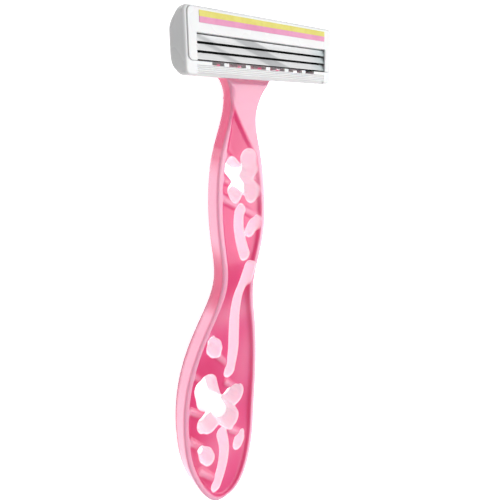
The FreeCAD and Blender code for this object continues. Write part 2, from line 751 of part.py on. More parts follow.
build_handle()
build_return_tongue()
build_cartridge_frame()
build_face_cover()
build_guard()
build_strip("upper_lubricating_strip", "strip_middle", "strip_top")
build_strip("lower_lubricating_strip", "strip_bottom", "strip_middle")
for blade_index in range(3):
    build_blade(blade_index)
doc.recompute()

for item in doc.Objects:
    if "Invalid" in item.State or "Error" in item.State:
        raise RuntimeError("%s failed: %s" % (item.Name, item.State))

nodes = [item for item in doc.Objects if item.TypeId == "PartDesign::Body" or item.Label == "handle"]
for node in nodes:
    if node.Shape.isNull() or not node.Shape.isValid():
        raise RuntimeError("%s has no valid shape" % node.Label)
    pieces = 2 if node.Label.startswith("blade_springs") else 1
    if len(node.Shape.Solids) != pieces:
        raise RuntimeError("%s is %d solids, not %d" % (node.Label, len(node.Shape.Solids), pieces))

os.makedirs("parts", exist_ok=True)
for node in nodes:
    node.Shape.exportStep("parts/%s.step" % node.Label)
    box = node.Shape.BoundBox
    print("%-26s %d solid(s)  x %.2f..%.2f  y %.2f..%.2f  z %.2f..%.2f  volume %.2f" % (
        node.Label, len(node.Shape.Solids), box.XMin, box.XMax, box.YMin, box.YMax, box.ZMin,
        box.ZMax, node.Shape.Volume))
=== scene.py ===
"""Looks of a pivoting-head razor: the moulded handle as a smooth skin, the head from its CAD pieces.

Objects are in metres in the part's own frame. The sizes below are in millimetres.
"""
import math

import bpy
import numpy as np
from mathutils import Matrix, Vector


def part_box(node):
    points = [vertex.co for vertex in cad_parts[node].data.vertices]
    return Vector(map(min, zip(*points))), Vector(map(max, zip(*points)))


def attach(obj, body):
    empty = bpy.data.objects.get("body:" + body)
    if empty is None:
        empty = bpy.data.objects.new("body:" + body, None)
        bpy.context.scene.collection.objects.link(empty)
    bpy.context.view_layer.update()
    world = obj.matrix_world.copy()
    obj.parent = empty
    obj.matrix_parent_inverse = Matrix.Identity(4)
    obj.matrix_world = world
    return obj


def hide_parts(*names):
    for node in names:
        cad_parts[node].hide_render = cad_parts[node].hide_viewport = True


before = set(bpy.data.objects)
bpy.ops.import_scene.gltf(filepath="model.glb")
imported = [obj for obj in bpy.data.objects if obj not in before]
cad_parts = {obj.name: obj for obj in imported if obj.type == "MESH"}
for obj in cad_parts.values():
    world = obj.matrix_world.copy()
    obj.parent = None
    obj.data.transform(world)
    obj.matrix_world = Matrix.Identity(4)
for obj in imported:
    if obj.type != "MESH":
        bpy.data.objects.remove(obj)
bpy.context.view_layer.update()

MM = 0.001

# --- the handle's driving sizes, millimetres; a station is a distance from the head end ---------
LENGTH = 117.1                # head end to tail
DATUM_ALONG = 54.538          # y of station 0
DATUM_UP = 3.95               # z of depth 0; depth grows downwards
TAIL_ROUND = 19.7             # length of the rounded tail
LOWER_ROUND = 1.9             # radius of the long lower edges
UPPER_ROUND = 0.8             # and of the upper ones
CUT_DRAFT = 0.24              # how far a cut-out narrows per millimetre of depth
VEE_RAMP = 5.5                # over this length the panel sinks from the vee to its full depth
RIM = 1.5                     # width of the raised rim round the panel
THIN_RIM, THIN_RIM_END = 1.15, 20.0   # how much narrower it is beside the vee, and up to where
THIN_RIM_RUN = 8.0            # length over which it gets back to its full width
PANEL_DROP = 1.0              # depth of the recessed panel
RIB_RISE = 0.6                # how far a cross rib stands up from the panel
RIB_HALF = 1.5                # half its width
BODY_START = 5.0              # the grip starts here, the fan plate lies ahead of it
PIVOT = (0.183, 2.553)        # station and z of the head's pivot
FAN_HALF, FAN_PLATE, FAN_REACH = 11.0, 3.0, 8.5
FAN_NARROW = (8.0, 3.6)        # station and half width where the fan leaves the neck
FAN_FLARE, FAN_POWER = 0.28, 1.65
FAN_LIFT = (1.9, 5.6)         # between these stations the plate lifts to the grip's own middle
FAN_FILLET = 0.9              # blend of the fan and the grip, running out along the fan
JOURNAL_RADIUS, JOURNAL_END = 1.1, 12.9
SLOT_HALF, SLOT_END = 2.5, 3.6   # half width and last station of the return tongue's gap

# share of the length, half width, depth of the middle, thickness
HANDLE_KNOTS = {
    "fan_root": (0.04, 5.5, 0.75, 3.4),
    "neck": (0.09, 3.9, 1.85, 4.2),
    "shoulder": (0.16, 5.8, 1.75, 4.4),
    "upper_bulge": (0.24, 7.35, 0.55, 4.6),
    "upper_taper": (0.33, 7.0, -0.95, 4.8),
    "waist": (0.43, 5.3, -1.1, 4.8),
    "lower_taper": (0.53, 8.3, 0.25, 5.0),
    "lower_shoulder": (0.63, 11.4, 1.38, 5.2),
    "palm_bulge": (0.73, 12.6, 1.38, 5.2),
    "palm_low": (0.83, 12.15, 0.1, 5.2),
    "tail_taper": (0.93, 10.9, -2.8, 4.8),
}
# a cut-out is discs (across, station, radius) joined by straight sides; a blossom has one run of
# discs for each lobe, all starting at its middle
UPPER_BLOSSOM = (
    ((0.9, 25.7, 2.45), (-0.6, 24.4, 2.0), (-2.7, 22.3, 1.95)),
    ((0.9, 25.7, 2.45), (2.7, 23.6, 1.9), (2.3, 20.6, 1.8)),
    ((0.9, 25.7, 2.45), (-1.4, 27.6, 1.9), (-1.4, 28.6, 1.7)),
    ((0.9, 25.7, 2.45), (3.4, 28.0, 1.8), (3.6, 29.2, 1.65)),
)
LOWER_BLOSSOM = (
    ((0.6, 89.5, 3.5), (-2.2, 86.5, 2.7), (-4.2, 83.8, 3.45), (-5.3, 79.9, 3.4)),
    ((0.6, 89.5, 3.5), (4.2, 86.2, 2.6), (5.2, 87.0, 3.2)),
    ((0.6, 89.5, 3.5), (-3.4, 92.2, 2.6), (-4.4, 91.3, 3.15)),
    ((0.6, 89.5, 3.5), (3.9, 94.0, 2.8)),
)
# stems: points (across, station), then the radius at the first and last
STEMS = (
    (((-0.2, 32.2), (-0.6, 35.7), (0.3, 40.0), (1.7, 43.3)), 1.2, 1.3),
    (((3.3, 46.5), (2.1, 51.0), (1.1, 54.6), (1.3, 60.0), (2.1, 65.0), (3.1, 72.0), (2.6, 78.2)),
     1.1, 1.65),
    (((0.5, 97.0), (1.1, 101.5), (0.0, 106.1), (-2.9, 111.4)), 1.5, 1.5),
)
# leaves: from the pointed end to the round end
LEAVES = (
    ((4.9, 34.8, 0.55), (3.9, 36.4, 1.1), (3.0, 37.6, 1.3)),
    ((-5.4, 65.2, 0.85), (-4.1, 68.0, 1.8), (-3.1, 69.6, 1.8)),
    ((7.8, 100.2, 0.75), (6.8, 101.7, 1.45), (6.0, 102.9, 1.5)),
    ((-7.0, 98.3, 0.85), (-5.4, 100.9, 1.7), (-4.4, 102.5, 1.7)),
)
# cross ribs of the panel, from the rim end to the end where they run out
RIBS = (
    ((-6.6, 18.8), (-0.4, 22.2)), ((-6.8, 24.0), (-2.6, 26.0)), ((-6.2, 28.6), (6.4, 35.0)),
    ((-10.6, 60.6), (-5.4, 64.8)), ((-2.4, 71.2), (3.0, 77.2)), ((-11.8, 72.6), (-7.0, 77.2)),
    ((1.8, 81.4), (5.6, 85.0)), ((-11.0, 84.6), (-5.0, 89.6)), ((3.6, 97.4), (7.4, 100.6)),
    ((-11.6, 93.2), (-6.6, 98.4)), ((-7.6, 104.8), (-3.4, 109.2)),
)
# paler stretches of the panel, painted light: across, station, spread across, spread along, strength
PAINTED_LIGHT_WASHES = ((5.0, 25.0, 3.5, 7.0, 0.75), (0.0, 59.0, 8.0, 4.5, 0.45), (8.0, 76.0, 4.0, 12.0, 0.3),
          (-2.0, 101.0, 9.0, 5.0, 0.25))
VEE_APEX = (-3.9, 8.6)       # the panel starts as a vee with this apex
VEE_SLOPES = (-3.3, 1.36)     # stations per millimetre across, left and right of it


def smooth_curve(knots, values):
    """A natural cubic through the knots, as a function of an array of shares."""
    x, y = np.array(knots), np.array(values)
    gap, rise = np.diff(x), np.diff(y) / np.diff(x)
    count = len(x)
    system, right = np.eye(count), np.zeros(count)
    inner = np.arange(1, count - 1)
    system[inner, inner - 1], system[inner, inner + 1] = gap[:-1], gap[1:]
    system[inner, inner] = 2 * (gap[:-1] + gap[1:])
    right[1:-1] = 6 * np.diff(rise)
    bend = np.linalg.solve(system, right)

    def at(share):
        cell = np.clip(np.searchsorted(x, share) - 1, 0, count - 2)
        h, left, ahead = gap[cell], share - x[cell], x[cell + 1] - share
        inside = (bend[cell] * ahead ** 3 + bend[cell + 1] * left ** 3) / (6 * h)
        inside += (y[cell] / h - bend[cell] * h / 6) * ahead
        inside += (y[cell + 1] / h - bend[cell + 1] * h / 6) * left
        slope = rise[-1] + gap[-1] * bend[-2] / 6
        return np.where(share > x[-1], y[-1] + slope * (share - x[-1]), inside)
    return at


KNOTS = np.array(list(HANDLE_KNOTS.values())).T
half_width_at, middle_at, thickness_at = (smooth_curve(KNOTS[0], row) for row in KNOTS[1:])


def smooth_min(a, b, k):
    """The lesser of two fields, blended by a parabola where they differ by less than k."""
    h = np.clip(0.5 + 0.5 * (b - a) / k, 0, 1)
    return b + (a - b) * h - k * h * (1 - h)


def smooth_max(a, b, k):
    """The greater of two fields, blended the same way."""
    return -smooth_min(-a, -b, k)


def rounded(a, b, radius):
    """The field of a corner between two flat sides, rounded to a radius."""
    qa, qb = a + radius, b + radius
    return np.minimum(np.maximum(qa, qb), 0) + np.hypot(np.maximum(qa, 0), np.maximum(qb, 0)) - radius


def hull_field(x, s, first, last):
    """Distance to two discs joined by straight sides: distance to the line between their centres
    less a radius that runs evenly from one disc's to the other's."""
    (x0, s0, r0), (x1, s1, r1) = first, last
    dx, ds = x1 - x0, s1 - s0
    t = np.clip(((x - x0) * dx + (s - s0) * ds) / max(dx * dx + ds * ds, 1e-9), 0, 1)
    return np.hypot(x - x0 - t * dx, s - s0 - t * ds) - (r0 + (r1 - r0) * t)


def round_path(points, radii, steps=4):
    """Discs along a curve through given points (Catmull-Rom), radius even from end to end."""
    p = np.array([points[0], *points, points[-1]], float)
    t = np.linspace(0, 1, steps, endpoint=False)[:, None]
    spans = [0.5 * ((2 * b) + (c - a) * t + (2 * a - 5 * b + 4 * c - d) * t ** 2
                    + (3 * b - a - 3 * c + d) * t ** 3)
             for a, b, c, d in zip(p, p[1:], p[2:], p[3:])]
    line = np.vstack(spans + [p[-1:]])
    return [(x, s, r) for (x, s), r in zip(line, np.linspace(*radii, len(line)))]


def run_field(x, s, discs, blend=0.0):
    """Distance to a run of discs: the hulls of neighbours, joined plainly or blended."""
    fields = [hull_field(x, s, a, b) for a, b in zip(discs, discs[1:])]
    result = fields[0]
    for field in fields[1:]:
        result = smooth_min(result, field, blend) if blend else np.minimum(result, field)
    return result


def cut_out_field(x, s):
    """Plan distance to the nearest cut-out: blossoms are blended runs of discs, stems are runs
    along a curve, leaves are runs that grow from a point."""
    result = np.full(np.broadcast(x, s).shape, 9.0)
    for lobes in (UPPER_BLOSSOM, LOWER_BLOSSOM):
        blossom = run_field(x, s, lobes[0], 0.4)
        for lobe in lobes[1:]:
            blossom = smooth_min(blossom, run_field(x, s, lobe, 0.4), 0.35)
        result = np.minimum(result, blossom)
    for points, first, last in STEMS:
        result = np.minimum(result, run_field(x, s, round_path(points, (first, last))))
    for leaf in LEAVES:
        result = np.minimum(result, run_field(x, s, leaf, 1.2))
    return result


def rib_height(x, s):
    """Height of the cross ribs over the panel: a rounded ridge along each line, running out."""
    height = np.zeros(np.broadcast(x, s).shape)
    for (x0, s0), (x1, s1) in RIBS:
        dx, ds = x1 - x0, s1 - s0
        t = np.clip(((x - x0) * dx + (s - s0) * ds) / (dx * dx + ds * ds), 0, 1)
        away = np.hypot(x - x0 - t * dx, s - s0 - t * ds)
        ridge = np.clip(1 - (away / RIB_HALF) ** 2, 0, 1) ** 2
        height = np.maximum(height, RIB_RISE * ridge * (1 - 0.55 * t))
    return height


def outline_field(x, s):
    """Plan distance to the grip's outline: a band of the half width, closed by half an ellipse."""
    half = half_width_at(np.clip(s, 0, LENGTH) / LENGTH)
    u = np.maximum(s - (LENGTH - TAIL_ROUND), 0) / TAIL_ROUND
    across = np.hypot(x, 1e-4)
    share = np.hypot(across / half, u)
    return share * (share - 1) / np.hypot(across / half ** 2, u / TAIL_ROUND)


def fan_field(x, s, up):
    """The fan plate: a plate about the pivot whose half width grows from the neck to the pivot as
    a power of the station, that lifts and thickens behind the head, with a round front edge and a
    journal of smaller radius at each end."""
    ahead = np.maximum(FAN_NARROW[0] - s, 1e-6)
    wide = np.minimum(FAN_NARROW[1] + FAN_FLARE * ahead ** FAN_POWER, FAN_HALF)
    lean = np.where(wide < FAN_HALF, FAN_FLARE * FAN_POWER * ahead ** (FAN_POWER - 1), 0)
    side = (np.abs(x) - wide) / np.hypot(1, lean)
    lift = np.clip((s - FAN_LIFT[0]) / (FAN_LIFT[1] - FAN_LIFT[0]), 0, 1)
    lift = lift * lift * (3 - 2 * lift)
    share = np.clip(s, 0, LENGTH) / LENGTH
    grip_middle, grip_half = DATUM_UP - middle_at(share), thickness_at(share) / 2
    middle = PIVOT[1] + (grip_middle - PIVOT[1]) * lift
    half = FAN_PLATE / 2 + (grip_half - FAN_PLATE / 2) * lift
    front = np.hypot(np.maximum(PIVOT[0] - s, 0), up - middle) - half
    plate = rounded(rounded(side, front, 0.35), s - FAN_REACH, 0.3)
    pin = np.hypot(s - PIVOT[0], up - PIVOT[1]) - JOURNAL_RADIUS
    return np.minimum(plate, rounded(pin, np.abs(x) - JOURNAL_END, 0.2))


def top_depth(s):
    """Depth of the grip's upper surface."""
    u = np.clip((s - (LENGTH - TAIL_ROUND)) / TAIL_ROUND, 0, 0.9995)
    share = np.clip(s, 0, LENGTH) / LENGTH
    return middle_at(share) - thickness_at(share) * np.sqrt(1 - u ** 6) / 2


def vee_field(x, s):
    """Plan distance to the vee: below it, on the panel's side, the field is negative."""
    along = s - VEE_APEX[1]
    left, right = ((slope * (x - VEE_APEX[0]) - along) / math.hypot(1, slope)
                   for slope in VEE_SLOPES)
    return smooth_max(left, right, 0.3)


def panel_edge_field(x, s):
    """Plan distance to the recessed panel's edge: the outline moved in by the rim, which all but
    vanishes beside the vee on its left, and the vee."""
    thin = np.clip(-x / 2, 0, 1) * np.clip((THIN_RIM_END - s) / THIN_RIM_RUN, 0, 1)
    return smooth_max(outline_field(x, s) + RIM - THIN_RIM * thin, vee_field(x, s), 0.5)


def panel_depth(x, s):
    """Depth of the panel under the upper surface: full, less the ribs, and a ramp from the vee."""
    ramp = np.clip(-vee_field(x, s) / VEE_RAMP, 0, 1)
    return PANEL_DROP * np.sqrt(ramp) - rib_height(x, s) * (ramp > 0.1)


def handle_field(x, s, up):
    """Signed distance to the handle: rounded band, plus fan, less panel, cut-outs, slot, floor."""
    depth = DATUM_UP - up
    top = top_depth(s)
    middle = middle_at(np.clip(s, 0, LENGTH) / LENGTH)
    outline, half = outline_field(x, s), middle - top
    upper = rounded(outline, middle - depth - half, UPPER_ROUND)
    lower = rounded(outline, depth - middle - half, LOWER_ROUND)
    grip = np.where(depth < middle, upper, lower)
    grip = smooth_max(grip, BODY_START - s, 0.6)
    fillet = 0.03 + FAN_FILLET * np.clip((FAN_REACH - s) / (FAN_REACH - BODY_START), 0, 1)
    solid = smooth_min(grip, fan_field(x, s, up), fillet)
    floor = depth - (top + panel_depth(x, s))
    recess = smooth_max(panel_edge_field(x, s) + 0.5 * (floor + PANEL_DROP), floor, 0.6)
    solid = smooth_max(solid, -recess, 0.35)
    cut = cut_out_field(x, s) + CUT_DRAFT * np.maximum(floor, -PANEL_DROP)
    solid = smooth_max(solid, -cut, 0.4)
    slot = rounded(np.abs(x) - SLOT_HALF, s - SLOT_END, 0.3)
    solid = smooth_max(solid, -slot, 0.3)
    return smooth_max(solid, -up, 0.15)


def skin(field, axes):
    """The closed surface where a field of three parameters is zero.

    Each cell of the box of points that the surface crosses gets one corner, at the mean of the
    crossings on the cell's twelve edges, and each crossed edge gets one quad between the four
    cells round it. The corners then slide along the field's slope until the field is zero there.
    """
    grid = np.meshgrid(*axes, indexing="ij", sparse=True)
    value = field(*grid)
    inside = value < 0
    cells = tuple(n - 1 for n in value.shape)
    total, count = np.zeros(cells + (3,)), np.zeros(cells)
    for axis in range(3):
        others = [a for a in range(3) if a != axis]
        for corner in ((0, 0), (0, 1), (1, 0), (1, 1)):
            start = [0, 0, 0]
            start[others[0]], start[others[1]] = corner
            low = tuple(slice(b, b + n) for b, n in zip(start, cells))
            start[axis] = 1
            high = tuple(slice(b, b + n) for b, n in zip(start, cells))
            crossed = inside[low] != inside[high]
            gap = value[low] - value[high]
            where = value[low] / np.where(crossed, gap, 1)
            point = np.empty(cells + (3,))
            point[..., axis] = where
            point[..., others[0]], point[..., others[1]] = corner
            total += np.where(crossed[..., None], point, 0)
            count += crossed
    held = count > 0
    number = np.full(cells, -1)
    number[held] = np.arange(held.sum())
    base = np.stack(np.meshgrid(*(a[:-1] for a in axes), indexing="ij"), -1)[held]
    pitch = np.array([a[1] - a[0] for a in axes])
    points = base + total[held] / count[held][:, None] * pitch
    quads = []
    for axis in range(3):
        a, b = (axis + 1) % 3, (axis + 2) % 3
        low = [slice(1, -1)] * 3
        low[axis] = slice(0, -1)
        high = list(low)
        high[axis] = slice(1, None)
        first, second = inside[tuple(low)], inside[tuple(high)]
        at = np.argwhere(first != second) + np.array([0 if i == axis else 1 for i in range(3)])
        steps = np.zeros((4, 3), int)
        steps[1, a] = steps[2, a] = steps[2, b] = steps[3, b] = -1
        ring = np.stack([number[tuple((at + step).T)] for step in steps], 1)
        leaving = inside[tuple(at.T)]
        ring[~leaving] = ring[~leaving][:, ::-1]
        quads.append(ring)
    for _ in range(4):
        here = field(*points.T)
        slope = np.stack([field(*(points + step).T) - here for step in np.eye(3) * 1e-3], 1) / 1e-3
        move = here[:, None] * slope / np.maximum((slope ** 2).sum(1), 0.2)[:, None]
        points -= np.clip(move, -0.3 * pitch.max(), 0.3 * pitch.max())
    return points, np.concatenate(quads)


def mesh_object(name, points, faces, marks=()):
    """A smooth-shaded mesh at the origin from arrays in metres, with named values per corner."""
    mesh = bpy.data.meshes.new(name)
    mesh.from_pydata(points.tolist(), [], faces.tolist())
    mesh.update()
    for label, values in marks:
        layer = mesh.attributes.new(label, "FLOAT", "POINT")
        layer.data.foreach_set("value", np.ascontiguousarray(values, dtype=np.float32))
    mesh.shade_smooth()
    piece = bpy.data.objects.new(name, mesh)
    bpy.context.collection.objects.link(piece)
    return piece


def painted_rim_highlight(x, s, below):
    """Strength of the painted highlight line along the right rim: strongest midway across its flat."""
    inward = -outline_field(x, s)
    return np.where(x > 0, np.clip(1 - np.abs(inward - 0.75) / 0.75, 0, 1), 0) * (below < 0.6)


def build_handle():
    """The moulded handle. A plate pierced by cut-outs with soft edges has no two-parameter grid,
    so it is the zero surface of a field of three parameters."""
    pitch = 0.3
    axes = [np.arange(-13.4, 13.4 + pitch, pitch), np.arange(-2.2, LENGTH + 0.8, pitch),
            np.arange(-0.5, 10.9, pitch)]
    points, faces = skin(handle_field, axes)
    x, s, up = points.T
    below = DATUM_UP - up - top_depth(s)
    cut = cut_out_field(x, s) + CUT_DRAFT * np.maximum(below - panel_depth(x, s), -PANEL_DROP)
    marks = (
        ("from_cut_out", np.clip(cut, -1, 3)),
        ("from_outline", np.clip(-outline_field(x, s), -1, 8)),
        ("below_top", np.clip(below, -1, 6)),
        ("rib", rib_height(x, s) / RIB_RISE),
        ("from_panel", np.clip(panel_edge_field(x, s), -3, 3)),
        ("bulge", np.clip((half_width_at(np.clip(s, 0, LENGTH) / LENGTH) - 5.6) / 1.4, 0, 1)),
        ("right_rim_highlight", painted_rim_highlight(x, s, below)),
        ("under_head", np.clip((3.5 - s) / 1.5, 0, 1)),
        # painted light: strength of the paler washes over the panel
        ("painted_light_wash", sum(share * np.exp(-((x - x0) ** 2 / across ** 2 + (s - s0) ** 2 / along ** 2))
                     for x0, s0, across, along, share in PAINTED_LIGHT_WASHES)),
    )
    placed = np.stack([x, DATUM_ALONG - s, up], 1) * MM
    low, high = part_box("handle")
    placed = np.clip(placed, np.array(low), np.array(high))
    return mesh_object("handle_skin", placed, faces[:, ::-1], marks)


# --- materials ---------------------------------------------------------------------------------

def new_group(name, inputs, outputs):
    """An empty shader group with float inputs (name, value) and outputs (name, kind)."""
    group = bpy.data.node_groups.new(name, "ShaderNodeTree")
    for label, value in inputs:
        socket = group.interface.new_socket(label, in_out="INPUT", socket_type="NodeSocketFloat")
        socket.default_value = value
    for label, kind in outputs:
        group.interface.new_socket(label, in_out="OUTPUT", socket_type=kind)
    return group, group.nodes.new("NodeGroupInput"), group.nodes.new("NodeGroupOutput")


def add(tree, kind, links=(), **values):
    """A node with its properties, plain socket values and links from other sockets."""
    node = tree.nodes.new(kind)
    for label, value in values.items():
        setattr(node, label, value)
    for label, source in links:
        socket = node.inputs[label]
        if isinstance(source, bpy.types.NodeSocket):
            tree.links.new(source, socket)
        else:
            socket.default_value = source
    return node


def moulded_grain():
    """Fine moulded texture: two scales of noise as a height, and a roughness mask."""
    group, given, out = new_group(
        "moulded_grain", (("Scale", 900.0), ("Coarse", 0.35)),
        (("Height", "NodeSocketFloat"), ("Mask", "NodeSocketFloat")))
    place = add(group, "ShaderNodeTexCoord").outputs["Object"]
    fine = add(group, "ShaderNodeTexNoise", [("Vector", place), ("Scale", given.outputs["Scale"]),
                                             ("Detail", 3.0), ("Roughness", 0.6)])
    slow = add(group, "ShaderNodeMath", [(0, given.outputs["Scale"]), (1, 0.12)], operation="MULTIPLY")
    broad = add(group, "ShaderNodeTexNoise", [("Vector", place), ("Scale", slow.outputs[0]),
                                              ("Detail", 2.0)])
    blend = add(group, "ShaderNodeMix", [("Factor", given.outputs["Coarse"]),
                                         ("A", fine.outputs["Fac"]), ("B", broad.outputs["Fac"])])
    group.links.new(blend.outputs["Result"], out.inputs["Height"])
    group.links.new(broad.outputs["Fac"], out.inputs["Mask"])
    return group


def streaks_and_painted_reflections():
    """Grinding and rolling streak marks along X: noise stretched along the strip, and slow leaning
    patches of painted reflection.
    """
    group, given, out = new_group(
        "streaks_and_painted_reflections", (("Across", 9000.0), ("Along", 90.0), ("Reflection_Patch", 110.0), ("Shift", 0.0)),
        (("Streak", "NodeSocketFloat"), ("Reflection_Patch", "NodeSocketFloat")))
    place = add(group, "ShaderNodeTexCoord").outputs["Object"]
    stretch = add(group, "ShaderNodeCombineXYZ", [("X", given.outputs["Along"]),
                                                  ("Y", given.outputs["Across"]),
                                                  ("Z", given.outputs["Across"])])
    fine_place = add(group, "ShaderNodeVectorMath", [(0, place), (1, stretch.outputs[0])],
                     operation="MULTIPLY")
    fine = add(group, "ShaderNodeTexNoise", [("Vector", fine_place.outputs[0]), ("Scale", 1.0),
                                             ("Detail", 4.0)])
    split = add(group, "ShaderNodeSeparateXYZ", [("Vector", place)])
    lean = add(group, "ShaderNodeMath", [(0, split.outputs["Y"]), (1, 3.0), (2, split.outputs["X"])],
               operation="MULTIPLY_ADD")
    slow = add(group, "ShaderNodeMath", [(0, lean.outputs[0]), (1, given.outputs["Reflection_Patch"]),
                                         (2, given.outputs["Shift"])], operation="MULTIPLY_ADD")
    reflection_patch_place = add(group, "ShaderNodeCombineXYZ", [("X", slow.outputs[0])])
    reflection_patch = add(group, "ShaderNodeTexNoise", [("Vector", reflection_patch_place.outputs[0]), ("Scale", 1.0),
                                              ("Detail", 1.0)])
    group.links.new(fine.outputs["Fac"], out.inputs["Streak"])
    group.links.new(reflection_patch.outputs["Fac"], out.inputs["Reflection_Patch"])
    return group


GROUPS = {"grain": moulded_grain(), "streaks_and_reflections": streaks_and_painted_reflections()}


def effect(tree, name, **values):
    """One of the shared groups, with its own input values."""
    node = tree.nodes.new("ShaderNodeGroup")
    node.node_tree = GROUPS[name]
    for label, value in values.items():
        node.inputs[label].default_value = value
    return node


def spread(tree, value, low, high, start=0.0, end=1.0):
    """A smooth step of a value from start to end while it goes from low to high."""
    node = add(tree, "ShaderNodeMapRange", [("Value", value), ("From Min", low), ("From Max", high),
                                            ("To Min", start), ("To Max", end)],
               interpolation_type="SMOOTHSTEP")
    return node.outputs["Result"]


def tint(tree, factor, first, second, how="MIX"):
    """Two colours mixed by a factor; either may be a socket or an rgb value."""
    node = add(tree, "ShaderNodeMix", data_type="RGBA", blend_type=how)
    tree.links.new(factor, node.inputs[0])
    for socket, colour in ((node.inputs[6], first), (node.inputs[7], second)):
        if isinstance(colour, bpy.types.NodeSocket):
            tree.links.new(colour, socket)
        else:
            socket.default_value = (*colour, 1)
    return node.outputs[2]


def product(tree, first, second):
    """Two masks multiplied."""
    return add(tree, "ShaderNodeMath", [(0, first), (1, second)], operation="MULTIPLY").outputs[0]


def new_material(name, **surface):
    """A material with its Principled BSDF's plain values set."""
    material = bpy.data.materials.new(name)
    material.use_nodes = True
    tree = material.node_tree
    shader = tree.nodes["Principled BSDF"]
    for label, value in surface.items():
        shader.inputs[label.replace("_", " ")].default_value = value
    return material, tree, shader


def bump(tree, shader, height, strength, distance):
    """A bump from a height, into the shader's normal."""
    node = add(tree, "ShaderNodeBump", [("Height", height), ("Strength", strength),
                                        ("Distance", distance)])
    tree.links.new(node.outputs["Normal"], shader.inputs["Normal"])


def pink_plastic():
    """Translucent pink moulding of the handle: deep on the panel, with painted light where it is
    paler:
    toward the outer side, on the ribs, in washes and on the walls of the cut-outs, where the light
    comes through; painted glows as emission, and painted shade keeping the foot of the sides deep."""
    # painted glow: the emission strength of the painted glows below
    material, tree, shader = new_material(
        "pink_moulding", Coat_Weight=0.35, Coat_Roughness=0.08, IOR=1.47,
        Subsurface_Weight=0.6, Subsurface_Scale=0.003,
        Emission_Strength=1.0)
    shader.inputs["Subsurface Radius"].default_value = (1.0, 0.35, 0.5)

    def mark(name):
        return add(tree, "ShaderNodeAttribute", attribute_name=name).outputs["Fac"]
    place = add(tree, "ShaderNodeTexCoord").outputs["Object"]
    cloud = add(tree, "ShaderNodeTexNoise", [("Vector", place), ("Scale", 45.0), ("Detail", 1.0)])
    colour = tint(tree, spread(tree, cloud.outputs["Fac"], 0.4, 0.6), DEEP_PINK, WARM_PINK)
    # painted light: paler washes over the panel
    colour = tint(tree, mark("painted_light_wash"), colour, PAINTED_LIGHT_PINK)
    # painted highlight: the cross ribs paler than the panel
    colour = tint(tree, spread(tree, mark("rib"), 0.1, 0.9, 0, 0.7), colour, PAINTED_LIGHT_PINK)
    # painted light: the side band where the outline bulges and the rim's top are paler; painted shade:
    # the foot of the sides stays deep pink, darker
    rim = spread(tree, mark("from_panel"), -0.3, 0.4)
    band = product(tree, rim, spread(tree, mark("bulge"), 0, 1, 0.3, 1))
    painted_lit_facet = product(tree, rim, spread(tree, mark("below_top"), 0.2, 0.9, 1, 0))
    off_painted_dark_foot = spread(tree, mark("below_top"), 2.8, 4.2, 1, 0)
    pale = product(tree, add(tree, "ShaderNodeMath", [(0, band), (1, painted_lit_facet)],
                             operation="MAXIMUM").outputs[0], off_painted_dark_foot)
    colour = tint(tree, pale, colour, PAINTED_LIGHT_PINK)
    # painted light: the walls of the cut-outs paler, as if lit through
    painted_wall_light = spread(tree, mark("from_cut_out"), 0.1, 0.45, 1, 0)
    colour = tint(tree, painted_wall_light, colour, PAINTED_WALL_PINK)
    # painted glow: emission on the neck, the bulging sides, the right rim, the cut-out walls and the
    # fan under the head
    under_top = spread(tree, mark("below_top"), 0.2, 0.9)
    glow = tint(tree, product(tree, product(tree, rim, under_top), off_painted_dark_foot), INNER_GLOW, NECK_GLOW)
    glow = tint(tree, product(tree, product(tree, pale, under_top), mark("bulge")), glow, SIDE_GLOW)
    # painted highlight: brighter glow along the right rim
    glow = tint(tree, product(tree, mark("right_rim_highlight"), mark("bulge")), glow, RIM_GLOW)
    glow = tint(tree, painted_wall_light, glow, WALL_GLOW)
    glow = tint(tree, mark("under_head"), glow, UNDER_GLOW)
    tree.links.new(glow, shader.inputs["Emission Color"])
    tree.links.new(colour, shader.inputs["Base Color"])
    grain = effect(tree, "grain", Scale=700.0, Coarse=0.5)
    tree.links.new(spread(tree, grain.outputs["Mask"], 0.3, 0.7, 0.16, 0.26),
                   shader.inputs["Roughness"])
    bump(tree, shader, grain.outputs["Height"], 0.12, 0.00003)
    return material


def within(tree, value, low, high, soft):
    """One between two bounds of a value, zero outside them, with soft edges."""
    falling = spread(tree, value, high - soft, high, 1, 0)
    return product(tree, spread(tree, value, low, low + soft), falling)


def white_plastic(name, roughness):
    """Satin white moulding: fine grain, slow change of gloss, a faint cool cast in patches, and black
    painted shade on the inside under the blades."""
    material, tree, shader = new_material(name, Coat_Weight=0.25, Coat_Roughness=0.12, IOR=1.5,
                                          Subsurface_Weight=0.08, Subsurface_Scale=0.0008)
    grain = effect(tree, "grain", Scale=1100.0, Coarse=0.4)
    colour = tint(tree, spread(tree, grain.outputs["Mask"], 0.3, 0.7), WHITE, COOL_WHITE)
    split = add(tree, "ShaderNodeSeparateXYZ",
                [("Vector", add(tree, "ShaderNodeTexCoord").outputs["Object"])])
    # painted shade: the inside under the blades painted black
    inside = None
    for axis, (low, high) in PAINTED_SHADE_BOX.items():
        slab = within(tree, split.outputs[axis], low * MM, high * MM, 0.1 * MM)
        inside = product(tree, inside, slab) if inside else slab
    colour = tint(tree, inside, colour, PAINTED_SHADE_BLACK)
    tree.links.new(colour, shader.inputs["Base Color"])
    tree.links.new(spread(tree, grain.outputs["Mask"], 0.25, 0.75, roughness, roughness + 0.1),
                   shader.inputs["Roughness"])
    bump(tree, shader, grain.outputs["Height"], 0.15, 0.00002)
    return material


